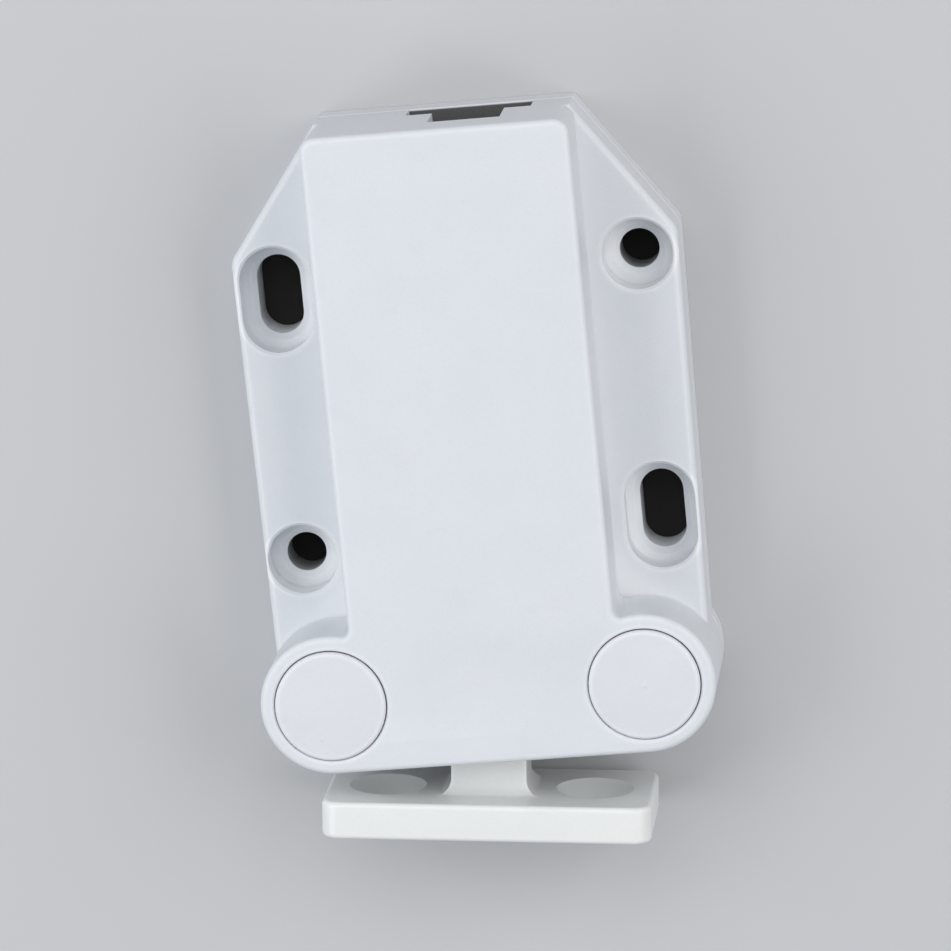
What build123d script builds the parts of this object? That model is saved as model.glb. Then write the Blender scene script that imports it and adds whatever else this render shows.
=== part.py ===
from build123d import *
import os
from math import atan2, cos, degrees, radians, sin

# Push to open catch for a cabinet door, shown latched on its striker.
# Lengths are in millimetres and angles in degrees. The mounting face is at Z = 0, the mouth faces
# -Y, and the origin is the middle of the four fixing holes. Travel is how far the slider has come
# out of its latched place towards the mouth: below 0 it is pushed in, at release_travel it is open.

# Casing
case_front = 27.3
case_rear = 23.5
case_height = 13.0
base_thickness = 2.2
wing_height = 6.2
wing_half = 17.7
wing_narrowing = 0.4
tail_half = 10.1
corner_cut = 10.4
corner_radius = 1.8
centre_half = 10.5
centre_corner_radius = 1.2
turret_wall = 1.15
turret_offset = 1.95
turret_blend = 0.6
side_wall = 1.6
roof = 1.8
mouth_cheek = 0.9
front_wall = 1.1
top_edge_radius = 0.5
wing_edge_radius = 0.6
seam_edge = 0.12

# Fixing holes: one diagonal pair is round, the other pair is slotted for adjustment
hole_inset = 3.3
hole_half_y = 11.25
hole_radius = 1.58
slot_radius = 1.74
slot_travel = 2.9
counterbore_radius = 2.8
counterbore_depth = 2.4
counterbore_edge = 0.2
sink_depth = 0.5

# Studs of the cover, riveted over under the base plate
stud_inset = 3.5
rear_stud_out = 0.9
rear_stud_inset = 5.9
stud_radius = 1.0
stud_head_radius = 1.8
stud_head_thickness = 0.6
stud_recess = 0.15

# Fits
running = 0.05
sliding = 0.1
notch_gap = 0.2
lift = 0.3

# Motion
release_travel = 6.5
overtravel = 2.0
opening_angle = 30.0
turn_per_mm = opening_angle / release_travel

# Jaws
hub_radius = 4.4
hub_proud = 0.3
hub_edge = 0.3
bore_edge = 0.25
pivot_radius = 1.5
pivot_depth = 1.4
boss_radius = 2.4
pivot_top_wall = 2.8
jaw_floor = 4.2
finger_gap = 0.95
finger_lead = 1.85
finger_tip_radius = 1.0
kicker_angle = 129.5
kicker_tip_radius = 1.2
shoulder_reach = 7.3
shoulder_angle = 46.0
palm_angle = 18.0
peg_radius = 0.8

# Striker
knob_radius = 4.6
knob_height = 5.2
knob_edge = 0.4
knob_back = 2.5
knob_play = 0.2
neck_width = 3.8
neck_length = 6.5
stem_width = 6.0
stem_height = 4.8
stem_root_radius = 1.2
plate_gap = 3.5
plate_width = 26.2
plate_height = 11.8
plate_thickness = 3.0
plate_corner_radius = 1.4
plate_edge_radius = 0.4
screw_spacing = 16.6
screw_radius = 1.65
screw_head_radius = 3.1
striker_skew = -5.2

# Slider
block_front = 10.2
block_rear = 3.0
block_wall = 1.5
floor_thickness = 2.7
tongue_thickness = 1.6
tongue_half = 7.2
tongue_front = 17.6
tongue_corner = 2.0
tail_x = 2.1
tail_end = 20.3
tail_flange_width = 9.5
tail_flange_height = 2.6
tail_web_width = 5.3
tail_top = 9.1

# Heart-shaped track, and the hooked wire that runs round it
track_y = 0.3
track_depth = 1.5
track_half = 2.95
track_mouth_half = 0.8
track_room = 0.7
track_shoulder = 2.2
heart_half = 1.65
heart_length = 5.4
heart_notch = 0.75
heart_lobe = 1.1
heart_waist = 1.2
wire_radius = 0.4
wire_anchor_y = 17.5
wire_bend = 0.8
wire_leg = 0.8
wire_gap = 0.2
wire_pocket_depth = 1.0

# Main spring
spring_inset = 3.3
spring_z = 6.7
spring_coil_radius = 2.05
spring_wire_radius = 0.35
spring_turns = 11
spring_seat = 5.0
rod_radius = 1.1
rod_seat = 1.0
rod_clearance = 1.0

# Worked out from the sizes above
wing_front_half = wing_half - wing_narrowing
hole_half_x = wing_half - hole_inset
hub_bore = hub_radius + running
turret_radius = hub_bore + turret_wall
pivot_x = centre_half + turret_offset
pivot_y = turret_radius - case_front
ceiling = case_height - roof
cavity_half = centre_half - side_wall
cavity_rear = case_rear - side_wall
spring_x = spring_inset - cavity_half
jaw_top = ceiling - lift
slider_floor = base_thickness + sliding
slider_top = ceiling - sliding
knob_y = pivot_y + knob_back
mid_height = jaw_floor + knob_height / 2
stem_length = knob_y + case_front + plate_gap
pivots = ((-pivot_x, pivot_y), (pivot_x, pivot_y))
round_holes = ((-hole_half_x, -hole_half_y), (hole_half_x, hole_half_y))
slot_y = hole_half_y - slot_travel / 2
slotted_holes = ((-hole_half_x, slot_y), (hole_half_x, -slot_y))
stud_places = (
    (wing_half - stud_inset, 0),
    (centre_half + rear_stud_out, case_rear - rear_stud_inset),
)
studs = [(side * x, y) for x, y in stud_places for side in (-1, 1)]


def polar(radius, angle):
    """A point at a radius and an angle from the local origin."""
    return (radius * cos(radians(angle)), radius * sin(radians(angle)))


def turned(x, y, angle):
    """A point turned about the local origin."""
    return (
        x * cos(radians(angle)) - y * sin(radians(angle)),
        x * sin(radians(angle)) + y * cos(radians(angle)),
    )


def wings():
    """The outline of the casing behind its turrets, with its rear corners cut off."""
    with BuildSketch() as outline:
        with BuildLine():
            Polyline(
                (0, pivot_y),
                (wing_front_half, pivot_y),
                (wing_half, case_rear - corner_cut),
                (tail_half, case_rear),
                (0, case_rear),
            )
            mirror(about=Plane.YZ)
        make_face()
        cut_corners = outline.vertices().group_by(Axis.Y)[1]
        fillet(cut_corners, corner_radius)
    return outline.sketch


def nose():
    """The outline of the casing's two round turrets and of the mouth between them."""
    with BuildSketch() as outline:
        with Locations((0, pivot_y - turret_radius / 2)):
            Rectangle(2 * pivot_x, turret_radius)
        with Locations(*pivots):
            Circle(turret_radius)
    return outline.sketch


def holes(round_radius, slotted_radius):
    """The four fixing holes at the half widths given, two of them round and two slotted along Y."""
    with BuildSketch() as pattern:
        with Locations(*round_holes):
            Circle(round_radius)
        with Locations(*slotted_holes):
            SlotOverall(2 * slotted_radius + slot_travel, 2 * slotted_radius, rotation=90)
    return pattern.sketch


# Cover: wings, raised centre and turrets in one moulding, hollow below
with BuildPart() as cover:
    with BuildSketch(Plane.XY.offset(base_thickness)):
        add(wings())
    extrude(amount=wing_height - base_thickness)
    wing_edges = cover.faces().sort_by(Axis.Z)[-1].edges().sort_by(Axis.Y)[1:]
    fillet(wing_edges, wing_edge_radius)

    with BuildSketch(Plane.XY.offset(base_thickness)) as raised:
        with Locations((0, (case_rear - case_front) / 2)):
            Rectangle(2 * centre_half, case_rear + case_front)
        rear_corners = raised.vertices().group_by(Axis.Y)[-1]
        fillet(rear_corners, centre_corner_radius)
        add(nose())
        shoulders = raised.vertices().filter_by(lambda v: pivot_y < v.Y < 0)
        fillet(shoulders, turret_blend)
    extrude(amount=case_height - base_thickness)
    fillet(cover.faces().sort_by(Axis.Z)[-1].edges(), top_edge_radius)
    chamfer(cover.faces().sort_by(Axis.Z)[0].edges(), seam_edge)

    with BuildSketch(Plane.XY.offset(base_thickness)):
        with Locations((0, (cavity_rear - case_front + front_wall) / 2)):
            Rectangle(2 * cavity_half, cavity_rear + case_front - front_wall)
        with Locations((0, pivot_y - turret_radius / 2)):
            Rectangle(2 * (centre_half - mouth_cheek), turret_radius)
    extrude(amount=ceiling - base_thickness, mode=Mode.SUBTRACT)

    with BuildSketch(Plane.XY.offset(base_thickness)):
        with Locations(*pivots):
            Circle(hub_bore)
    extrude(amount=case_height - base_thickness, mode=Mode.SUBTRACT)
    rims = cover.faces().sort_by(Axis.Z)[-1].inner_wires().edges()
    fillet(rims, bore_edge)

    with BuildSketch(Plane.XY.offset(base_thickness)):
        add(holes(hole_radius, slot_radius))
    extrude(amount=wing_height - base_thickness, mode=Mode.SUBTRACT)
    with BuildSketch(Plane.XY.offset(wing_height)):
        add(holes(counterbore_radius, counterbore_radius))
    extrude(amount=-counterbore_depth, mode=Mode.SUBTRACT)
    with BuildSketch(Plane.XY.offset(wing_height)):
        rim_radius = counterbore_radius + counterbore_edge
        add(holes(rim_radius, rim_radius))
    extrude(amount=-counterbore_edge, taper=45, mode=Mode.SUBTRACT)
    with BuildSketch(Plane.XY.offset(wing_height - counterbore_depth)):
        add(holes(hole_radius + sink_depth, slot_radius + sink_depth))
    extrude(amount=-sink_depth, taper=45, mode=Mode.SUBTRACT)

    with BuildSketch(Plane.XZ.offset(-case_rear)):
        flange_top = slider_floor + tail_flange_height + notch_gap
        with Locations((tail_x, (base_thickness + flange_top) / 2)):
            Rectangle(tail_flange_width + 2 * notch_gap, flange_top - base_thickness)
        with Locations((tail_x, (base_thickness + tail_top + notch_gap) / 2)):
            Rectangle(tail_web_width + 2 * notch_gap, tail_top + notch_gap - base_thickness)
    extrude(amount=side_wall, mode=Mode.SUBTRACT)

    with BuildSketch(Plane.XZ.offset(-cavity_rear)):
        with Locations((spring_x, spring_z)):
            Circle(rod_radius + running)
    extrude(amount=-rod_seat, mode=Mode.SUBTRACT)

    with BuildSketch(Plane.XY.offset(base_thickness)):
        with Locations(*studs):
            Circle(stud_radius)
    extrude(amount=-(base_thickness - stud_recess))
    with BuildSketch(Plane.XY.offset(stud_recess)):
        with Locations(*studs):
            Circle(stud_head_radius)
    extrude(amount=stud_head_thickness)

# Base plate: closes the cover, carries the jaws' pivots and the wire
with BuildPart() as base_plate:
    with BuildSketch():
        add(wings())
        add(nose())
    extrude(amount=base_thickness)
    chamfer(base_plate.faces().sort_by(Axis.Z)[-1].edges(), seam_edge)
    with BuildSketch(Plane.XY.offset(base_thickness)):
        with Locations(*pivots):
            Circle(boss_radius)
    extrude(amount=jaw_floor - sliding - base_thickness)
    with BuildSketch(Plane.XY.offset(base_thickness - pivot_depth)):
        with Locations(*pivots):
            Circle(pivot_radius)
    extrude(amount=jaw_floor, mode=Mode.SUBTRACT)
    with BuildSketch():
        add(holes(hole_radius, slot_radius))
        with Locations(*studs):
            Circle(stud_radius + running)
    extrude(amount=base_thickness, mode=Mode.SUBTRACT)
    with BuildSketch():
        with Locations(*studs):
            Circle(stud_head_radius + running)
    extrude(amount=stud_recess + stud_head_thickness, mode=Mode.SUBTRACT)

    pocket_floor = base_thickness - wire_pocket_depth
    with BuildSketch(Plane.XY.offset(base_thickness)):
        with BuildLine():
            Polyline(
                (tail_x, wire_anchor_y + 2 * wire_radius),
                (tail_x + 2 * wire_radius, wire_anchor_y + 2 * wire_radius),
                (tail_x + track_half, track_y),
                (tail_x + track_half, track_y - 2 * wire_radius),
                (tail_x, track_y - 2 * wire_radius),
            )
            mirror(about=Plane.YZ.offset(tail_x))
        make_face()
    extrude(amount=-wire_pocket_depth, mode=Mode.SUBTRACT)
    with BuildSketch(Plane.XY.offset(pocket_floor)):
        with Locations((tail_x, wire_anchor_y)):
            Circle(wire_radius + wire_gap)
    extrude(amount=-wire_leg, mode=Mode.SUBTRACT)

# Jaws: a hub that shows as a disc on the turret, and a fork that holds the striker's knob
kicker_from_knob = polar(knob_radius + kicker_tip_radius, kicker_angle)
peg = (pivot_x + kicker_from_knob[0], knob_back + kicker_from_knob[1])
finger = (pivot_x - neck_width / 2 - finger_gap - finger_tip_radius, -finger_lead)
finger_front = polar(finger_tip_radius, degrees(atan2(finger[1], finger[0])) - 90)
kicker_rear = polar(kicker_tip_radius, degrees(atan2(peg[1], peg[0])) + 90)
knob_in_jaw = turned(pivot_x, knob_back - release_travel / 2, opening_angle / 2)
with BuildPart() as left_jaw:
    pivot_plane = Plane((-pivot_x, pivot_y, 0))
    with BuildSketch(pivot_plane.offset(jaw_floor)):
        with BuildLine():
            Polyline(
                (0, 0),
                (finger[0] + finger_front[0], finger[1] + finger_front[1]),
                finger,
                peg,
                (peg[0] + kicker_rear[0], peg[1] + kicker_rear[1]),
                polar(shoulder_reach, shoulder_angle),
                polar(hub_radius, palm_angle),
                close=True,
            )
        make_face()
        with Locations(finger):
            Circle(finger_tip_radius)
        with Locations(peg):
            Circle(kicker_tip_radius)
        with Locations(knob_in_jaw):
            Circle(knob_radius + knob_play, mode=Mode.SUBTRACT)
    extrude(amount=jaw_top - jaw_floor)
    with BuildSketch(pivot_plane.offset(jaw_floor)):
        Circle(hub_radius)
    extrude(amount=case_height + hub_proud - jaw_floor)
    fillet(left_jaw.faces().sort_by(Axis.Z)[-1].edges(), hub_edge)
    with BuildSketch(pivot_plane.offset(jaw_floor)):
        with Locations(peg):
            Circle(peg_radius)
    extrude(amount=-(jaw_floor - slider_floor - lift))
    with BuildSketch(pivot_plane.offset(jaw_floor)):
        Circle(pivot_radius + running)
    extrude(amount=case_height - pivot_top_wall + running - jaw_floor, mode=Mode.SUBTRACT)

with BuildPart() as right_jaw:
    add(left_jaw.part.mirror(Plane.YZ))

# Steel pivots, pressed into the base plate
with BuildPart() as left_pivot:
    with BuildSketch(Plane((-pivot_x, pivot_y, base_thickness - pivot_depth))):
        Circle(pivot_radius)
    extrude(amount=case_height - pivot_top_wall - base_thickness + pivot_depth)

with BuildPart() as right_pivot:
    add(left_pivot.part.mirror(Plane.YZ))

# Striker, drawn straight about its knob
with BuildPart() as straight_striker:
    with BuildSketch(Plane.XY.offset(mid_height)):
        Circle(knob_radius)
    extrude(amount=knob_height / 2, both=True)
    chamfer(straight_striker.edges().filter_by(GeomType.CIRCLE), knob_edge)
    with BuildSketch(Plane.XZ.offset(stem_length)):
        with Locations((0, mid_height)):
            RectangleRounded(plate_width, plate_height, plate_corner_radius)
    extrude(amount=plate_thickness)
    fillet(straight_striker.faces().filter_by(Axis.Y).edges(), plate_edge_radius)
    with BuildSketch(Plane.XY.offset(mid_height)):
        with Locations((0, -(neck_length + stem_length) / 2)):
            Rectangle(stem_width, stem_length - neck_length)
        with Locations((0, -neck_length / 2)):
            Rectangle(neck_width, neck_length)
    extrude(amount=stem_height / 2, both=True)
    plate_back = straight_striker.faces().filter_by(Axis.Y).sort_by(Axis.Y)[1]
    fillet(plate_back.inner_wires().edges(), stem_root_radius)
    with Locations(Plane((0, -stem_length, mid_height), x_dir=(1, 0, 0), z_dir=(0, 1, 0))):
        with GridLocations(screw_spacing, 0, 2, 1):
            CounterSinkHole(screw_radius, screw_head_radius)

# The striker as it hangs in the jaws, turned a little about its knob
with BuildPart() as striker:
    with Locations((0, knob_y, 0)):
        add(straight_striker.part, rotation=(0, 0, striker_skew))

# Slider: cam tongue under the jaws, block with the spring's seat, T-shaped tail
with BuildPart() as slider:
    with BuildSketch(Plane.XY.offset(slider_floor)):
        with Locations((0, -(tongue_front + block_front) / 2)):
            tongue = Rectangle(2 * tongue_half, tongue_front - block_front)
        fillet(tongue.vertices().group_by(Axis.Y)[0], tongue_corner)
    extrude(amount=tongue_thickness)
    with BuildSketch(Plane.XY.offset(slider_floor)):
        with Locations((0, (block_rear - block_front) / 2)):
            Rectangle(2 * (cavity_half - sliding), block_rear + block_front)
    extrude(amount=slider_top - slider_floor)
    with BuildSketch(Plane.XZ.offset(-block_rear)):
        with Locations((tail_x, slider_floor + tail_flange_height / 2)):
            Rectangle(tail_flange_width, tail_flange_height)
        with Locations((tail_x, (slider_floor + tail_top) / 2)):
            Rectangle(tail_web_width, tail_top - slider_floor)
    extrude(amount=block_rear - tail_end)

    pocket_left = spring_x + spring_coil_radius + spring_wire_radius + block_wall
    pocket_right = cavity_half - sliding - block_wall
    with BuildSketch(Plane.XY.offset(slider_floor + floor_thickness)):
        with Locations(((pocket_left + pocket_right) / 2, (block_rear - block_front) / 2)):
            Rectangle(pocket_right - pocket_left, block_rear + block_front - 2 * block_wall)
    extrude(amount=slider_top - slider_floor, mode=Mode.SUBTRACT)
    with BuildSketch(Plane.XZ.offset(-block_rear)):
        with Locations((spring_x, spring_z)):
            Circle(spring_coil_radius + spring_wire_radius + sliding)
    extrude(amount=block_rear + spring_seat, mode=Mode.SUBTRACT)

    cam_points = []
    for travel in (-overtravel, 0, release_travel / 2, release_travel):
        across, along = turned(*peg, -turn_per_mm * travel)
        cam_points.append((across - pivot_x, along + pivot_y + travel))
    with BuildLine(Plane.XY.offset(slider_floor)) as cam_path:
        Spline(*cam_points)
    with BuildSketch(Plane.XY.offset(slider_floor)):
        trace(cam_path.line, 2 * (peg_radius + sliding))
        with Locations(cam_points[0], cam_points[-1]):
            Circle(peg_radius + sliding)
        mirror(about=Plane.YZ)
    extrude(amount=tongue_thickness, mode=Mode.SUBTRACT)

    with BuildSketch(Plane((tail_x, track_y, slider_floor))) as track:
        with BuildLine():
            Polyline(
                (-track_mouth_half, release_travel + track_room),
                (-track_half, track_shoulder),
                (-track_half, -track_mouth_half),
                (-heart_half, -overtravel - track_room),
                (-wire_radius, -overtravel + wire_radius),
                (heart_waist, -overtravel - track_room),
                (track_half, -track_mouth_half),
                (track_half, track_shoulder),
                (track_mouth_half, release_travel + track_room),
                close=True,
            )
        make_face()
        fillet(track.vertices(), wire_radius)
        with BuildLine():
            Polyline(
                (0, heart_notch),
                (heart_lobe, -heart_notch),
                (heart_half, heart_waist),
                (0, heart_length),
                (-heart_half, heart_waist),
                (-heart_lobe, -heart_notch),
                close=True,
            )
        make_face(mode=Mode.SUBTRACT)
    extrude(amount=track_depth, mode=Mode.SUBTRACT)

# Tracking wire: hooked into the base plate behind, its tip in the notch of the heart
with BuildPart() as tracking_wire:
    wire_z = base_thickness - wire_pocket_depth / 2
    with BuildLine() as bent:
        FilletPolyline(
            (tail_x, wire_anchor_y, pocket_floor - wire_leg),
            (tail_x, wire_anchor_y, wire_z),
            (tail_x, track_y, wire_z),
            (tail_x, track_y, slider_floor + track_depth - wire_gap),
            radius=wire_bend,
        )
    with BuildSketch(Plane(bent.line @ 0, z_dir=bent.line % 0)):
        Circle(wire_radius)
    sweep()

# Main spring, between the slider's seat and the rear wall
with BuildPart() as main_spring:
    coil_length = cavity_rear + spring_seat - 2 * (spring_wire_radius + running)
    coil_start = spring_wire_radius + running - spring_seat
    with BuildLine() as coil:
        Helix(
            pitch=coil_length / spring_turns,
            height=coil_length,
            radius=spring_coil_radius,
            center=(spring_x, coil_start, spring_z),
            direction=(0, 1, 0),
        )
    with BuildSketch(Plane(coil.line @ 0, z_dir=coil.line % 0)):
        Circle(spring_wire_radius)
    sweep(is_frenet=True)

# Spring rod, seated in the rear wall
with BuildPart() as spring_rod:
    rod_front = spring_seat - overtravel - rod_clearance
    with BuildSketch(Plane.XZ.offset(-(cavity_rear + rod_seat))):
        with Locations((spring_x, spring_z)):
            Circle(rod_radius)
    extrude(amount=cavity_rear + rod_seat + rod_front)

pieces = {
    "cover": cover,
    "base_plate": base_plate,
    "left_jaw": left_jaw,
    "right_jaw": right_jaw,
    "left_pivot": left_pivot,
    "right_pivot": right_pivot,
    "striker": striker,
    "slider": slider,
    "tracking_wire": tracking_wire,
    "main_spring": main_spring,
    "spring_rod": spring_rod,
}
os.makedirs("parts", exist_ok=True)
for name, piece in pieces.items():
    piece.part.label = name
    export_step(piece.part, f"parts/{name}.step")
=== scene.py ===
"""Looks of a push to open catch for a cabinet door: moulded casing, jaws, striker and works."""

import logging
import math
from dataclasses import dataclass, field
from enum import Enum
from typing import Any, Mapping, Sequence, Union

import bpy
import numpy as np
from mathutils import Matrix, Vector


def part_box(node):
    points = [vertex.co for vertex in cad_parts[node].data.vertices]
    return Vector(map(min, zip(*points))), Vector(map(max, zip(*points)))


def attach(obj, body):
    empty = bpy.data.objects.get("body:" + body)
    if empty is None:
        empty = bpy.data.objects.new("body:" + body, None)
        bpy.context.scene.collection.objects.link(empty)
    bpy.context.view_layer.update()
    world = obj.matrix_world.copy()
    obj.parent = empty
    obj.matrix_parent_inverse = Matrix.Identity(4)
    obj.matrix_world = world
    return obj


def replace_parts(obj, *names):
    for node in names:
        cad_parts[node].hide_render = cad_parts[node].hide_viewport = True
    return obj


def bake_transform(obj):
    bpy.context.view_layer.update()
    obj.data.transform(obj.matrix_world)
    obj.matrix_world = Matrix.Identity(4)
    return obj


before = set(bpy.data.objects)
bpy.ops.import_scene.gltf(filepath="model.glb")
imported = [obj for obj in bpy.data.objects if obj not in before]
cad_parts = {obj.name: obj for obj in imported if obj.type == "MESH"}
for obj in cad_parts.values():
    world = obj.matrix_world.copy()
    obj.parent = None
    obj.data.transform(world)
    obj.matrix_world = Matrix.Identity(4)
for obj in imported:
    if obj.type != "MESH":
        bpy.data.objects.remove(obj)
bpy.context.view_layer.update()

MM = 0.001
log = logging.getLogger("catch")

Triple = tuple[float, float, float]
Colour = Triple
Box = tuple[Triple, Triple]
Term = Union["Signal", float]


class Slot(Enum):
    """Names of the record's material slots for new pieces."""

    CASING = "casing"
    JAW = "jaw"
    SPRING_STEEL = "spring_steel"


class Body(Enum):
    """The rigid bodies that new pieces ride on."""

    CASING = "casing"
    SLIDER = "slider"
    RIGHT_JAW = "right_jaw"


# ---------------------------------------------------------------- shader graph


RISE_BAND = (0.05, 0.4)
SCRATCH_BAND = (0.012, 0.004)
PATCH_BAND = (0.55, 0.7)
SCRATCH_WAVES = 0.22
PATCH_WAVES = 0.3


class Signal:
    """An output of a shader node, with arithmetic that adds Math nodes."""

    def __init__(self, graph: "Graph", socket: bpy.types.NodeSocket) -> None:
        """Wraps one output socket.

        Args:
            graph: The graph that new nodes go into.
            socket: The output.
        """
        self.graph = graph
        self.socket = socket

    def math(self, operation: str, *terms: Term) -> "Signal":
        """Joins terms by one Math node.

        Args:
            operation: The Math node's operation.
            terms: Its inputs in order, as signals or numbers.

        Returns:
            The node's output.
        """
        inputs = dict(enumerate(terms))
        return self.graph.node("ShaderNodeMath", {"operation": operation}, inputs)

    def __add__(self, other: Term) -> "Signal":
        """Self plus other."""
        return self.math("ADD", self, other)

    def __sub__(self, other: Term) -> "Signal":
        """Self minus other."""
        return self.math("SUBTRACT", self, other)

    def __mul__(self, other: Term) -> "Signal":
        """Self times other."""
        return self.math("MULTIPLY", self, other)

    def __radd__(self, other: Term) -> "Signal":
        """Other plus self."""
        return self.math("ADD", other, self)

    def __rsub__(self, other: Term) -> "Signal":
        """Other minus self."""
        return self.math("SUBTRACT", other, self)

    def __rmul__(self, other: Term) -> "Signal":
        """Other times self."""
        return self.math("MULTIPLY", other, self)

    def size(self) -> "Signal":
        """Self without its sign."""
        return self.math("ABSOLUTE", self)

    def larger(self, other: Term) -> "Signal":
        """The larger of self and other."""
        return self.math("MAXIMUM", self, other)

    def band(self, low: float, high: float) -> "Signal":
        """Rises smoothly from 0 at low to 1 at high.

        Args:
            low: The value that gives 0.
            high: The value that gives 1.

        Returns:
            The smoothed value.
        """
        settings = {"interpolation_type": "SMOOTHSTEP"}
        return self.graph.node("ShaderNodeMapRange", settings, {0: self, 1: low, 2: high})


class Graph:
    """A material's node tree around one Principled shader."""

    def __init__(self, name: str) -> None:
        """Starts an empty material.

        Args:
            name: The material's name.
        """
        self.material = bpy.data.materials.new(name)
        self.material.use_nodes = True
        self.tree = self.material.node_tree
        self.shader = self.tree.nodes["Principled BSDF"]

    def node(
        self,
        kind: str,
        settings: Mapping[str, Any] | None = None,
        inputs: Mapping[Union[str, int], Any] | None = None,
        output: Union[str, int] = 0,
    ) -> Signal:
        """Adds any node.

        Args:
            kind: The node's type.
            settings: Its properties, which are set before its sockets.
            inputs: Values or signals for its input sockets, by name or number.
            output: The output that is wanted.

        Returns:
            That output.
        """
        made = self.tree.nodes.new(kind)
        for name, value in (settings or {}).items():
            setattr(made, name, value)
        for name, value in (inputs or {}).items():
            self.feed(made.inputs[name], value)
        return Signal(self, made.outputs[output])

    def feed(self, socket: bpy.types.NodeSocket, value: Any) -> None:
        """Links a signal to a socket, or sets a value on it.

        Args:
            socket: The input socket.
            value: A signal, a number, a vector or a colour.
        """
        if isinstance(value, Signal):
            self.tree.links.new(value.socket, socket)
        elif isinstance(value, tuple) and socket.type == "RGBA" and len(value) == 3:
            socket.default_value = (*value, 1.0)
        else:
            socket.default_value = value

    def set(self, **values: Any) -> None:
        """Feeds the shader's own sockets, with _ for a space in a name."""
        for name, value in values.items():
            self.feed(self.shader.inputs[name.replace("_", " ")], value)

    def place(self) -> Signal:
        """Finds the point on the piece, in the frame that all pieces share.

        Returns:
            The point, in millimetres.
        """
        metres = self.node("ShaderNodeTexCoord", output="Object")
        settings = {"operation": "SCALE"}
        return self.node("ShaderNodeVectorMath", settings, {0: metres, "Scale": 1 / MM})

    def facing_up(self) -> Signal:
        """Tells slopes from upright walls by the rise of the surface's normal.

        Returns:
            0 on an upright wall or an underside, and 1 where the surface slopes well upwards.
        """
        normal = self.node("ShaderNodeTexCoord", output="Normal")
        split = self.node("ShaderNodeSeparateXYZ", inputs={0: normal}, output="Z")
        return split.band(*RISE_BAND)

    def stretched(self, place: Signal, scale: Sequence[float]) -> Signal:
        """The place with each axis multiplied by its own scale."""
        settings = {"operation": "MULTIPLY"}
        return self.node("ShaderNodeVectorMath", settings, {0: place, 1: tuple(scale)})

    def noise(self, place: Signal, scale: float, detail: float = 2.0) -> Signal:
        """Soft noise from 0 to 1.

        Args:
            place: Where it is read.
            scale: Waves for each unit of place.
            detail: Octaves.

        Returns:
            The noise.
        """
        inputs = {"Vector": place, "Scale": scale, "Detail": detail, "Roughness": 0.5}
        return self.node("ShaderNodeTexNoise", {"noise_dimensions": "3D"}, inputs)

    def hairlines(self, place: Signal, slant: float, fineness: float) -> Signal:
        """Sparse fine scratches, the middle values of a noise drawn out along one direction.

        Args:
            place: Where they are read.
            slant: Their angle to the X axis, in radians.
            fineness: How many times finer the noise is across a scratch than along it.

        Returns:
            1 in a scratch and 0 elsewhere.
        """
        settings = {"vector_type": "TEXTURE"}
        inputs = {"Vector": place, "Rotation": (0.0, 0.0, slant)}
        turned = self.node("ShaderNodeMapping", settings, inputs)
        across = SCRATCH_WAVES * fineness
        drawn = self.noise(self.stretched(turned, (SCRATCH_WAVES, across, across)), 1.0, 1.0)
        patches = self.noise(place, PATCH_WAVES, 1.0).band(*PATCH_BAND)
        return (drawn - 0.5).size().band(*SCRATCH_BAND) * patches

    def mix(self, factor: Term, first: Any, second: Any) -> Signal:
        """Blends two colours, from first at 0 to second at 1."""
        settings = {"data_type": "RGBA", "blend_type": "MIX"}
        return self.node("ShaderNodeMix", settings, {0: factor, 6: first, 7: second}, 2)

    def bump(self, height: Signal, depth: float, normal: Signal | None = None) -> Signal:
        """Tilts the surface's normal by a height.

        Args:
            height: The height, from 0 to 1.
            depth: How much 1 stands for, in millimetres.
            normal: A bump that comes first, or None.

        Returns:
            The normal.
        """
        inputs: dict[Union[str, int], Any] = {"Height": height, "Distance": depth * MM}
        if normal is not None:
            inputs["Normal"] = normal
        return self.node("ShaderNodeBump", {}, inputs)

    def inside(self, place: Signal, box: Box, margin: float) -> Signal:
        """Whether a place is in a box, from 0 at its walls to 1 further in than the margin.

        Args:
            place: The place, in millimetres.
            box: The box's lowest and highest corner.
            margin: The depth over which the value rises.

        Returns:
            The product of one rise and one fall along each axis.
        """
        split = self.node("ShaderNodeSeparateXYZ", inputs={0: place}).socket.node
        found: Term = 1.0
        for output, start, end in zip(split.outputs, *box):
            along = Signal(self, output)
            found = found * (along.band(start, start + margin) * along.band(end, end - margin))
        return found

    def openness(self, reach: float, inwards: bool = False, rays: int = 5) -> Signal:
        """How much room there is at the surface, from 0 for none to 1 for a free half ball.

        Args:
            reach: How far it looks, in millimetres.
            inwards: Whether it looks into the solid, where room runs short beside an edge.
            rays: How many directions it tries.

        Returns:
            The share of directions in which nothing lies within reach.
        """
        settings = {"samples": rays, "only_local": inwards, "inside": inwards}
        return self.node("ShaderNodeAmbientOcclusion", settings, {"Distance": reach * MM}, "AO")


# ---------------------------------------------------------------- finishes


# Painted shade: the near-black colour of deep bores, of the inside of the casing and of the floor under it.
DEEP_SHADE = (0.030, 0.028, 0.027)
# Painted light: the pale colour of the painted highlight on upward edges and of the painted light in hollows.
PAINTED_LIGHT = (0.93, 0.94, 0.955)
PLASTIC_IOR = 1.53

# Waves for each millimetre.
CLOUD_WAVES = 0.16
SPECK_WAVES = 2.6
PEEL_WAVES = 0.9
STAIN_WAVES = 0.7

# Millimetres.
SCRATCH_DEPTH = -0.004
DRAW_DEPTH = 0.004
EDGE_REACH = 0.5
CREASE_SHADE_REACH = 0.7
UNLIT_EDGE = 0.15

# The values between which an effect comes in.
CLOUD_BAND = (0.35, 0.7)
SPECK_BAND = (0.78, 0.84)
STAIN_BAND = (0.45, 0.75)
EDGE_BAND = (0.55, 0.95)
CREASE_SHADE_BAND = (0.1, 0.6)
HOLLOW_LIGHT_BAND = (0.3, 0.72)
DEEP_BAND = (0.04, 0.22)

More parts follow.
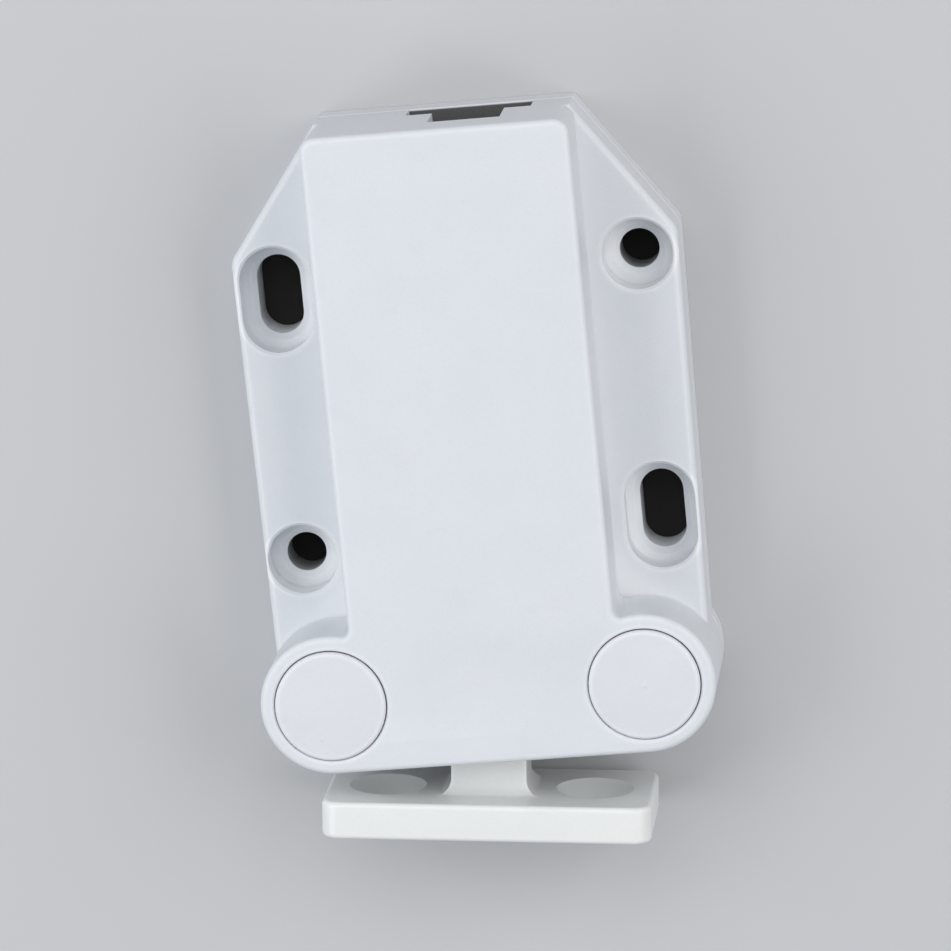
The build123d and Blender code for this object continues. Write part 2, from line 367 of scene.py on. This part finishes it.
# How much of the second colour an effect brings at most.
SPECK_SHARE = 0.12
GRAIN_SHARE = 0.25
CREASE_SHADE_SHARE = 0.3
DEEP_SHARE = 0.92
STAIN_SHARE = 0.6


@dataclass(frozen=True)
class Moulding:
    """A satin moulded plastic with spark-eroded grain and cloudy pigment, with painted shade in creases and
    deep inside, and painted light on upward edges and in hollows.

    Attributes:
        name: The material's name.
        colour: Its main colour.
        cloud: The colour that it drifts to in patches.
        speck_and_crease_shade: The colour of specks and darker grain, and of the painted shade in creases.
        roughness: Its mean roughness.
        bore_reach: How far a surface looks for open room before it counts as deep inside and takes painted
            shade, or 0 where nothing is that deep.
        unlit: A box that is painted dark as shade all through, in millimetres, or None.
        edge_highlight_share: How much of the painted highlight the upward-facing edges take.
        hollow_light_share: How much painted light brightens the counterbores and inner corners.
        grain: Grains for each millimetre.
        grain_depth: Their depth in millimetres.
        peel_depth: Depth of the broad unevenness, in millimetres.
        flow: Direction scales of the faint flow marks.
    """

    name: str
    colour: Colour
    cloud: Colour
    speck_and_crease_shade: Colour
    roughness: float = 0.42
    bore_reach: float = 6.0
    unlit: Box | None = None
    edge_highlight_share: float = 0.85
    hollow_light_share: float = 0.7
    grain: float = 4.5
    grain_depth: float = 0.014
    peel_depth: float = 0.014
    flow: Triple = (0.9, 0.12, 0.9)

    def pigment(self, graph: Graph, place: Signal, grain: Signal, edge: Signal) -> Signal:
        """The colour: cloudy and specked, with a painted highlight on upward edges, painted light in hollows,
        and painted shade in creases and deep inside.

        Args:
            graph: The graph that it is made in.
            place: Where it is read.
            grain: The fine grain.
            edge: 1 where a painted highlight lies on an upward-facing edge, and 0 elsewhere.

        Returns:
            The colour.
        """
        clouds = graph.noise(place, CLOUD_WAVES, 2.0).band(*CLOUD_BAND)
        specks = graph.noise(place, SPECK_WAVES, 1.0).band(*SPECK_BAND)
        found = graph.mix(clouds, self.colour, self.cloud)
        found = graph.mix(specks * SPECK_SHARE, found, self.speck_and_crease_shade)
        found = graph.mix((grain - 0.5).size() * GRAIN_SHARE, found, self.speck_and_crease_shade)
        # Painted highlight on the upward-facing edges.
        found = graph.mix(edge * self.edge_highlight_share, found, PAINTED_LIGHT)
        # Painted shade in creases and between parts, where little room is left around the surface.
        crease_shade = 1.0 - graph.openness(CREASE_SHADE_REACH).band(*CREASE_SHADE_BAND)
        if not self.bore_reach:
            return graph.mix(crease_shade * CREASE_SHADE_SHARE, found, self.speck_and_crease_shade)
        room = graph.openness(self.bore_reach, rays=8)
        # Painted light mask: hollows with little open room around them, such as counterbores.
        hollow = 1.0 - room.band(*HOLLOW_LIGHT_BAND)
        # Painted shade in deep bores, and over the unlit box inside the casing.
        deep = 1.0 - room.band(*DEEP_BAND)
        if self.unlit is not None:
            deep = deep.larger(graph.inside(place, self.unlit, UNLIT_EDGE))
        # Painted light that brightens the counterbores and inner corners.
        found = graph.mix(hollow * self.hollow_light_share, found, PAINTED_LIGHT)
        # Painted shade in creases.
        found = graph.mix(crease_shade * CREASE_SHADE_SHARE, found, self.speck_and_crease_shade)
        return graph.mix(deep * DEEP_SHARE, found, DEEP_SHADE)

    def material(self) -> bpy.types.Material:
        """Builds the material.

        Returns:
            The material.
        """
        graph = Graph(self.name)
        place = graph.place()
        grain = graph.noise(place, self.grain, 3.0)
        flow = graph.noise(graph.stretched(place, self.flow), 1.0, 3.0)
        scuffs = graph.hairlines(place, 0.9, 24.0) + graph.hairlines(place, -0.5, 31.0)
        # Painted highlight mask: edges where the solid runs thin and the surface faces upwards; these edges
        # are also made smoother.
        solid = graph.openness(EDGE_REACH, inwards=True).band(*EDGE_BAND)
        edge = graph.facing_up() * (1.0 - solid)
        uneven = (flow - 0.5) * 0.16 + (grain - 0.5) * 0.12
        roughness = self.roughness + uneven - edge * 0.1 + scuffs * 0.12
        normal = graph.bump(grain, self.grain_depth)
        normal = graph.bump(graph.noise(place, PEEL_WAVES, 1.0), self.peel_depth, normal)
        normal = graph.bump(scuffs, SCRATCH_DEPTH, normal)
        pigment = self.pigment(graph, place, grain, edge)
        graph.set(Base_Color=pigment, Roughness=roughness, Normal=normal, IOR=PLASTIC_IOR)
        return graph.material


@dataclass(frozen=True)
class Steel:
    """Drawn or plated steel with marks along one direction.

    Attributes:
        name: The material's name.
        colour: Its main colour.
        stain: The colour of dull patches.
        roughness: Its mean roughness.
        draw: Direction scales of the drawing marks.
    """

    name: str
    colour: Colour
    stain: Colour
    roughness: float
    draw: Triple

    def material(self) -> bpy.types.Material:
        """Builds the material.

        Returns:
            The material.
        """
        graph = Graph(self.name)
        place = graph.place()
        lines = graph.noise(graph.stretched(place, self.draw), 1.0, 4.0)
        patches = graph.noise(place, STAIN_WAVES, 3.0).band(*STAIN_BAND)
        colour = graph.mix(patches * STAIN_SHARE, self.colour, self.stain)
        roughness = self.roughness + (lines - 0.5) * 0.25 + patches * 0.12
        normal = graph.bump(lines, DRAW_DEPTH)
        graph.set(Base_Color=colour, Roughness=roughness, Metallic=1.0, Normal=normal)
        return graph.material


@dataclass(frozen=True)
class Ground:
    """The plain pale floor, with painted shade under the casing.

    Attributes:
        name: The material's name.
        colour: Its colour in the open.
        shaded: The box under the casing that is painted dark as shade, in millimetres.
        shade_edge: The width over which it darkens, in millimetres.
    """

    name: str = "floor_paper"
    colour: Colour = (0.55, 0.555, 0.565)
    shaded: Box = ((-16.8, -14.0, -1.0), (16.8, 14.0, 1.0))
    shade_edge: float = 0.5

    def material(self) -> bpy.types.Material:
        """Builds a matt paper with a very faint cloudiness and painted shade under the casing.

        Returns:
            The material.
        """
        graph = Graph(self.name)
        place = graph.place()
        clouds = graph.noise(place, 0.02, 1.0)
        lighter = tuple(min(1.0, 1.02 * c) for c in self.colour)
        colour = graph.mix(clouds, self.colour, lighter)
        # Painted shade under the casing, which shows dark through the fixing holes.
        dark = graph.inside(place, self.shaded, self.shade_edge)
        colour = graph.mix(dark, colour, DEEP_SHADE)
        graph.set(Base_Color=colour, Roughness=0.9, Specular_IOR_Level=0.2)
        return graph.material


# The third colour of each moulding is that of specks and darker grain, and of the painted shade in creases.
CASING_WHITE = Moulding("casing_white", (0.705, 0.732, 0.770), (0.72, 0.745, 0.78), (0.30, 0.31, 0.33))
JAW_WHITE = Moulding("jaw_white", (0.71, 0.732, 0.770), (0.725, 0.745, 0.78), (0.28, 0.29, 0.31))
GATE_WHITE = Moulding(
    "gate_white",
    (0.72, 0.74, 0.775),
    (0.74, 0.755, 0.79),
    (0.28, 0.29, 0.31),
    roughness=0.3,
    edge_highlight_share=0.0,
)
STRIKER_WHITE = Moulding(
    "striker_white",
    (0.80, 0.82, 0.81),
    (0.82, 0.835, 0.82),
    (0.36, 0.34, 0.31),
    roughness=0.36,
    bore_reach=0.0,
)
SLIDER_WHITE = Moulding(
    "slider_white",
    (0.70, 0.70, 0.68),
    (0.73, 0.73, 0.70),
    (0.30, 0.30, 0.29),
    roughness=0.5,
)
BASE_WHITE = Moulding(
    "base_white",
    (0.69, 0.705, 0.735),
    (0.71, 0.725, 0.75),
    (0.30, 0.31, 0.33),
    roughness=0.5,
    # Painted shade over the inside of the casing.
    unlit=((-9.4, -27.0, 2.0), (9.4, 23.45, 12.0)),
)
PIN_STEEL = Steel("pin_steel_drawn", (0.62, 0.62, 0.63), (0.42, 0.41, 0.40), 0.28, (9.0, 9.0, 0.6))
WIRE_STEEL = Steel("wire_steel_plated", (0.60, 0.61, 0.62), (0.44, 0.43, 0.40), 0.30, (3.0, 3.0, 3.0))


# ---------------------------------------------------------------- meshes


def grid_piece(name: str, points: np.ndarray) -> bpy.types.Object:
    """Makes a smooth closed mesh from a grid of points.

    Faces join each point to its neighbours along both parameters. The second parameter runs
    round and joins up. The first and last rings are filled by a fan about their middle.

    Args:
        name: The object's name.
        points: Points in metres, shaped (rings, points in a ring, 3).

    Returns:
        The object, with its place in its mesh.
    """
    rings, around, _ = points.shape
    step = np.arange(around)
    after = (step + 1) % around
    here, there = np.arange(rings - 1)[:, None] * around, np.arange(1, rings)[:, None] * around
    quads = np.stack([here + step, here + after, there + after, there + step], -1)
    first, last, end = rings * around, rings * around + 1, (rings - 1) * around
    low_fan = np.stack([np.full(around, first), after, step], -1)
    high_fan = np.stack([np.full(around, last), end + step, end + after], -1)
    faces = quads.reshape(-1, 4).tolist() + low_fan.tolist() + high_fan.tolist()
    vertices = np.vstack([points.reshape(-1, 3), points[0].mean(0), points[-1].mean(0)])
    mesh = bpy.data.meshes.new(name)
    mesh.from_pydata(vertices.tolist(), [], faces)
    mesh.polygons.foreach_set("use_smooth", np.ones(len(mesh.polygons), bool))
    mesh.update()
    piece = bpy.data.objects.new(name, mesh)
    bpy.context.scene.collection.objects.link(piece)
    return piece


LAST_RING = 0.001
ASKEW = (0.31, 0.87, 0.38)


def tube(line: np.ndarray, radius: float, around: int, dome: int) -> np.ndarray:
    """The surface of a round wire with domed ends.

    Each ring is a circle about a point of the line, in the plane square to the line. Its first
    direction is carried along the line without twist: from point to point it loses its part
    along the new tangent. At each end the rings shrink as the cosine of an angle while they
    move out as its sine, which makes a half ball. Its last ring keeps a thousandth of the width.

    Args:
        line: Points of the centre line, shaped (n, 3), in metres.
        radius: The wire's radius.
        around: Points in a ring.
        dome: Rings in each dome.

    Returns:
        Points shaped (rings, around, 3).
    """
    tangent = np.gradient(line, axis=0)
    tangent /= np.linalg.norm(tangent, axis=1, keepdims=True)
    side = np.empty_like(line)
    guess = np.cross(tangent[0], ASKEW)
    for n, t in enumerate(tangent):
        guess = guess - t * (guess @ t)
        guess = guess / np.linalg.norm(guess)
        side[n] = guess
    angle = np.linspace(0, math.pi / 2, dome + 1)[1:]
    grow, out = np.cos(angle) * (1 - LAST_RING) + LAST_RING, np.sin(angle) * radius
    before = line[0] - out[::-1, None] * tangent[0]
    behind = line[-1] + out[:, None] * tangent[-1]
    centre = np.vstack([before, line, behind])
    width = np.concatenate([grow[::-1], np.ones(len(line)), grow]) * radius
    first = np.vstack([np.tile(side[0], (dome, 1)), side, np.tile(side[-1], (dome, 1))])
    heading = np.vstack([np.tile(tangent[0], (dome, 1)), tangent, np.tile(tangent[-1], (dome, 1))])
    second = np.cross(heading, first)
    turn = np.linspace(0, 2 * math.pi, around, endpoint=False)
    cosine, sine = np.cos(turn)[None, :, None], np.sin(turn)[None, :, None]
    circle = cosine * first[:, None] + sine * second[:, None]
    return centre[:, None] + width[:, None, None] * circle


def bent_line(corners: np.ndarray, radius: float, per_bend: int) -> np.ndarray:
    """A line through square corners, each rounded by a quarter circle.

    At a corner that is reached along one direction and left along another, the point at an angle
    of the bend lies back from the corner by the radius times one minus the sine, and onwards by
    the radius times one minus the cosine.

    Args:
        corners: The ends and corners, shaped (n, 3), in metres.
        radius: The bend's radius.
        per_bend: Points in each bend.

    Returns:
        Points shaped (m, 3), with each straight run divided into steps as long as the radius.
    """
    headings = np.diff(corners, axis=0)
    headings /= np.linalg.norm(headings, axis=1, keepdims=True)
    angle = np.linspace(0, math.pi / 2, per_bend)[:, None]
    stops = [corners[:1]]
    for corner, before, after in zip(corners[1:-1], headings, headings[1:]):
        stops.append(corner + radius * ((np.sin(angle) - 1) * before + (1 - np.cos(angle)) * after))
    stops.append(corners[-1:])
    line = [stops[0]]
    for start, bend in zip(stops, stops[1:]):
        steps = max(2, int(np.linalg.norm(bend[0] - start[-1]) / radius))
        share = np.linspace(0, 1, steps, endpoint=False)[1:, None]
        line += [start[-1] + share * (bend[0] - start[-1]), bend]
    return np.vstack(line)


def turned_profile(centre: Vector, profile: np.ndarray, around: int) -> np.ndarray:
    """A surface of revolution about an upright axis.

    Each row of the profile is a distance from the axis and a height; the ring at that row is a
    circle of that distance at that height.

    Args:
        centre: A point of the axis, in metres.
        profile: Rows of (distance, height), shaped (n, 2), in metres.
        around: Points in a ring.

    Returns:
        Points shaped (n, around, 3).
    """
    turn = np.linspace(0, 2 * math.pi, around, endpoint=False)
    ring = np.stack([np.cos(turn), np.sin(turn), np.zeros(around)], -1)
    points = profile[:, 0, None, None] * ring
    points[..., 2] += profile[:, 1, None]
    return points + np.array(centre)


# ---------------------------------------------------------------- sub-assemblies


@dataclass
class SubAssembly:
    """A group of pieces that are built and dressed together."""

    made: list[bpy.types.Object] = field(default_factory=list, init=False)

    def fasten(self, piece: bpy.types.Object, body: Body, slot: Slot) -> bpy.types.Object:
        """Puts a new piece on its body, and reports it.

        Args:
            piece: The piece.
            body: The body that it rides on.
            slot: The record's slot for its finish.

        Returns:
            The piece.
        """
        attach(piece, body.value)
        return self.enter(piece, slot)

    def enter(self, piece: bpy.types.Object, slot: Slot) -> bpy.types.Object:
        """Adds a new piece to the made pieces and reports it.

        Args:
            piece: The piece.
            slot: The record's slot for its finish; not used.

        Returns:
            The piece.
        """
        self.made.append(piece)
        log.info("%s: %d faces", piece.name, len(piece.data.polygons))
        return piece


def finish_piece(piece: bpy.types.Object, material: bpy.types.Material) -> None:
    """Gives a piece one material in place of what it has."""
    piece.data.materials.clear()
    piece.data.materials.append(material)


WELD_REACH = 0.0005 * MM


def dress_node(name: str, material: bpy.types.Material, crease: float = 28.0) -> None:
    """Smooths a CAD node's curved faces, keeps its creases, and gives it its finish.

    Args:
        name: The node.
        material: Its finish.
        crease: The angle in degrees above which an edge stays sharp.
    """
    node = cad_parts[name]
    node.data.polygons.foreach_set("use_smooth", np.ones(len(node.data.polygons), bool))
    weld = node.modifiers.new("weld", "WELD")
    weld.merge_threshold = WELD_REACH
    split = node.modifiers.new("crease", "EDGE_SPLIT")
    split.split_angle = math.radians(crease)
    for slot in node.material_slots:
        slot.material = material
    if not node.material_slots:
        node.data.materials.append(material)
    log.info("%s: %d faces", name, len(node.data.polygons))


@dataclass
class Casing(SubAssembly):
    """The cover and the base plate, with the melted heads of the cover's studs.

    Attributes:
        stake_radius: Radius of a melted head.
        stake_clear: How far its lowest point stays above the mounting face.
        stake_top: Height of its rim above the mounting face.
        stake_sunk: How far it reaches into the stud above its rim.
        dimple: The dimple's depth, as a share of the dome's.
        dimple_width: The dimple's width, as a share of the head's radius.
        stud_places: Places of the studs on the right, in millimetres.
        around: Points in a ring.
    """

    stake_radius: float = 1.6 * MM
    stake_clear: float = 0.04 * MM
    stake_top: float = 0.16 * MM
    stake_sunk: float = 0.1 * MM
    dimple: float = 0.45
    dimple_width: float = 0.35
    stud_places: tuple[tuple[float, float], ...] = ((14.2, 0.0), (11.4, 17.6))
    around: int = 48

    def head(self, x: float, y: float, number: int) -> np.ndarray:
        """A melted stud head: a low dome with a dimple, wavy where the plastic flowed.

        The dome drops from its rim as half an ellipse, less a bell curve in the middle. Its
        distance from the axis is multiplied by one plus two small sine waves round it.

        Args:
            x: Its place along X, in metres.
            y: Its place along Y, in metres.
            number: Its number, which shifts the waves.

        Returns:
            Points shaped (rings, around, 3).
        """
        share = np.linspace(1.0, 0.02, 18)
        hollow = self.dimple * np.exp(-((share / self.dimple_width) ** 2))
        dome = np.sqrt(np.clip(1 - share**2, 0, 1)) * (1 - hollow)
        height = self.stake_top - (self.stake_top - self.stake_clear) * dome
        top = self.stake_top + self.stake_sunk
        rim = np.array([[self.stake_radius * 0.2, top], [self.stake_radius, top]])
        profile = np.vstack([rim, np.stack([share * self.stake_radius, height], -1)])
        points = turned_profile(Vector((x, y, 0)), profile, self.around)
        turn = np.linspace(0, 2 * math.pi, self.around, endpoint=False)
        ripple = 1 + 0.03 * np.sin(3 * turn + number) + 0.015 * np.sin(7 * turn + 2 * number)
        middle = np.array((x, y))
        points[..., :2] = middle + (points[..., :2] - middle) * ripple[None, :, None]
        return points

    def build(self) -> None:
        """Makes the four stake heads."""
        places = [(side * x * MM, y * MM) for x, y in self.stud_places for side in (-1, 1)]
        for number, (x, y) in enumerate(places, 1):
            piece = grid_piece(f"stake_head_{number}", self.head(x, y, number))
            self.fasten(piece, Body.CASING, Slot.CASING)

    def dress(self) -> None:
        """Gives the casing its finishes."""
        cover = CASING_WHITE.material()
        base = BASE_WHITE.material()
        dress_node("cover", cover)
        dress_node("base_plate", base)
        for piece in self.made:
            finish_piece(piece, cover)


@dataclass
class Jaws(SubAssembly):
    """The two jaws with their pivots, and the gate's mark on the right hub.

    Attributes:
        mark_radius: Radius of the gate's mark.
        mark_height: Its height.
        mark_width: The width of its peak, as a share of its radius.
        mark_sunk: How far its foot is sunk into the hub.
    """

    mark_radius: float = 0.55 * MM
    mark_height: float = 0.07 * MM
    mark_width: float = 0.55
    mark_sunk: float = 0.01 * MM

    def build(self) -> None:
        """Makes the gate's mark: a low torn nub whose height falls off as a bell curve."""
        low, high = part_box("right_pivot")
        centre = (low + high) / 2
        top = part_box("right_jaw")[1].z
        share = np.linspace(1.0, 0.02, 16)
        peak = self.mark_height * np.exp(-((share / self.mark_width) ** 2))
        profile = np.stack([share * self.mark_radius, top - self.mark_sunk + peak], -1)
        foot = top - 5 * self.mark_sunk
        under = np.array([[0.2 * self.mark_radius, foot], [self.mark_radius, foot]])
        axis = Vector((centre.x, centre.y, 0))
        points = turned_profile(axis, np.vstack([under, profile]), 40)
        self.fasten(grid_piece("gate_mark", points), Body.RIGHT_JAW, Slot.JAW)

    def dress(self) -> None:
        """Gives the jaws and pivots their finishes."""
        plastic, steel, torn = JAW_WHITE.material(), PIN_STEEL.material(), GATE_WHITE.material()
        for side in ("left", "right"):
            dress_node(f"{side}_jaw", plastic)
            dress_node(f"{side}_pivot", steel)
        for piece in self.made:
            finish_piece(piece, torn)


@dataclass
class Striker(SubAssembly):
    """The striker on the door."""

    def dress(self) -> None:
        """Gives the striker its finish."""
        dress_node("striker", STRIKER_WHITE.material())


@dataclass
class Works(SubAssembly):
    """The slider, the main spring on its rod, and the tracking wire.

    Attributes:
        coil_wire: Radius of the spring's wire.
        coils: Turns of the main spring.
        dead_coils: Turns at each end that lie flat against each other.
        dead_pitch: Their pitch, in radii of the wire.
        coil_steps: Points of its centre line in each turn.
        track_wire: Radius of the tracking wire.
        track_bend: Radius of its bends.
        track_run: Height of its long run above the mounting face.
    """

    coil_wire: float = 0.35 * MM
    coils: float = 11.0
    dead_coils: float = 1.0
    dead_pitch: float = 2.04
    coil_steps: int = 40
    track_wire: float = 0.4 * MM
    track_bend: float = 0.8 * MM
    track_run: float = 1.7 * MM

    def build(self) -> None:
        """Makes the spring and the wire in place of their plain solids."""
        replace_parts(self.spring(), "main_spring")
        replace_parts(self.hook(), "tracking_wire")

    def spring(self) -> bpy.types.Object:
        """A compression spring with closed ends.

        The centre line turns at a fixed radius about the spring's axis. Its advance for each
        turn is the wire's thickness in the dead coils and an even pitch between them, blended
        by a smooth step over half a turn.

        Returns:
            The spring.
        """
        low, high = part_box("main_spring")
        centre = (low + high) / 2
        radius = (high.x - low.x) / 2 - self.coil_wire
        turns = np.linspace(0, self.coils, int(self.coils * self.coil_steps) + 1)
        inside = np.minimum(turns, self.coils - turns)
        ease = np.clip((inside - self.dead_coils) / 0.5, 0, 1)
        ease = ease**2 * (3 - 2 * ease)
        length = (high.y - low.y) - 2 * self.coil_wire
        dead = self.dead_pitch * self.coil_wire
        steps = np.diff(turns)
        mean_ease = (ease[1:] + ease[:-1]) / 2
        open_pitch = (length - dead * (steps * (1 - mean_ease)).sum()) / (steps * mean_ease).sum()
        pitch = dead + (open_pitch - dead) * mean_ease
        along = low.y + self.coil_wire + np.concatenate([[0.0], np.cumsum(steps * pitch)])
        angle = 2 * math.pi * turns
        across, up = centre.x + radius * np.cos(angle), centre.z + radius * np.sin(angle)
        wire = tube(np.stack([across, along, up], -1), self.coil_wire, around=14, dome=4)
        piece = self.enter(grid_piece("spring_coil", wire), Slot.SPRING_STEEL)
        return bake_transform(piece)

    def hook(self) -> bpy.types.Object:
        """The tracking wire: a leg down, a long run forwards and a tip up, with rounded ends.

        Returns:
            The wire.
        """
        low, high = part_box("tracking_wire")
        middle = (low.x + high.x) / 2
        rear, front = high.y - self.track_wire, low.y + self.track_wire
        anchor, tip = low.z + self.track_wire, high.z - self.track_wire
        corners = ((rear, anchor), (rear, self.track_run), (front, self.track_run), (front, tip))
        places = np.array([(middle, y, z) for y, z in corners])
        line = bent_line(places, self.track_bend, per_bend=12)
        wire = tube(line, self.track_wire, around=20, dome=5)
        return self.fasten(grid_piece("track_wire_hook", wire), Body.CASING, Slot.SPRING_STEEL)

    def dress(self) -> None:
        """Gives the works their finishes."""
        steel, wire = PIN_STEEL.material(), WIRE_STEEL.material()
        dress_node("slider", SLIDER_WHITE.material())
        dress_node("spring_rod", steel)
        for piece in self.made:
            finish_piece(piece, wire)


# ---------------------------------------------------------------- studio


@dataclass
class Studio:
    """The floor, the lamps and the camera.

    Attributes:
        eye: The camera's place.
        up: The direction that is up in the picture.
        aim: The point in the middle of the picture.
        lens: Focal length in millimetres on a sensor 36 mm wide.
        floor_half: Half the floor's width, in metres.
        floor_drop: How far the floor lies below the mounting face.
        sky: Colour of the light from all round.
        sky_strength: Its strength.
    """

    eye: Vector = field(default_factory=lambda: Vector((0.053, 0.0966, 0.4774)))
    up: Vector = field(default_factory=lambda: Vector((0.0811, 0.98611, -0.14492)))
    aim: Vector = field(default_factory=lambda: Vector((0.0, -0.0055, 0.006)))
    lens: float = 232.0
    floor_half: float = 2.0
    floor_drop: float = 0.02 * MM
    sky: Colour = (0.92, 0.95, 1.0)
    sky_strength: float = 0.333

    def floor(self) -> None:
        """Lays the pale floor, a little below the mounting face."""
        half = self.floor_half
        corners = [(-half, -half), (half, -half), (half, half), (-half, half)]
        mesh = bpy.data.meshes.new("floor")
        mesh.from_pydata([(x, y, -self.floor_drop) for x, y in corners], [], [(0, 1, 2, 3)])
        floor = bpy.data.objects.new("floor", mesh)
        bpy.context.scene.collection.objects.link(floor)
        finish_piece(floor, Ground().material())

    def lamp(self, name: str, place: Triple, size: tuple[float, float], power: float, colour: Colour) -> None:
        """Hangs a soft rectangular lamp that faces the object.

        Args:
            name: The lamp's name.
            place: Where it hangs, in metres.
            size: Its width and height.
            power: Its power in watts.
            colour: Its colour.
        """
        light = bpy.data.lights.new(name, "AREA")
        light.shape = "RECTANGLE"
        light.size, light.size_y = size
        light.energy = power
        light.color = colour
        lamp = bpy.data.objects.new(name, light)
        lamp.location = Vector(place)
        lamp.rotation_euler = (self.aim - lamp.location).to_track_quat("-Z", "Y").to_euler()
        bpy.context.scene.collection.objects.link(lamp)

    def lamps(self) -> None:
        """Hangs the lamps: a broad one high behind the tail, and one at each side."""
        self.lamp("rear_softbox", (-0.06, 0.46, 0.62), (0.6, 0.45), 1.4, (1.0, 0.995, 0.985))
        self.lamp("left_softbox", (-0.44, 0.02, 0.38), (0.7, 0.4), 1.93, (0.96, 0.98, 1.0))
        self.lamp("right_softbox", (0.44, 0.05, 0.40), (0.7, 0.4), 1.93, (1.0, 0.99, 0.975))
        world = bpy.data.worlds.new("studio")
        bpy.context.scene.world = world
        world.use_nodes = True
        background = world.node_tree.nodes["Background"]
        background.inputs["Color"].default_value = (*self.sky, 1.0)
        background.inputs["Strength"].default_value = self.sky_strength

    def camera(self) -> None:
        """Sets the camera at its eye, looking at the aim, rolled so that up is up."""
        back = (self.eye - self.aim).normalized()
        right = self.up.cross(back).normalized()
        turn = Matrix((right, back.cross(right), back)).transposed()
        data = bpy.data.cameras.new("camera")
        data.lens, data.sensor_width = self.lens, 36.0
        data.clip_start, data.clip_end = 0.01, 20.0
        camera = bpy.data.objects.new("camera", data)
        camera.matrix_world = Matrix.Translation(self.eye) @ turn.to_4x4()
        bpy.context.scene.collection.objects.link(camera)
        bpy.context.scene.camera = camera

    def build(self) -> None:
        """Builds all of the studio."""
        self.floor()
        self.lamps()
        self.camera()
        bpy.context.scene.view_settings.view_transform = "Standard"


def main() -> None:
    """Builds and dresses every sub-assembly, then the studio."""
    logging.basicConfig(level=logging.INFO, format="%(message)s")
    Studio().build()
    casing, jaws, striker, works = Casing(), Jaws(), Striker(), Works()
    for assembly in (casing, jaws, works):
        assembly.build()
    for assembly in (casing, jaws, striker, works):
        assembly.dress()


if __name__ == "__main__":
    main()
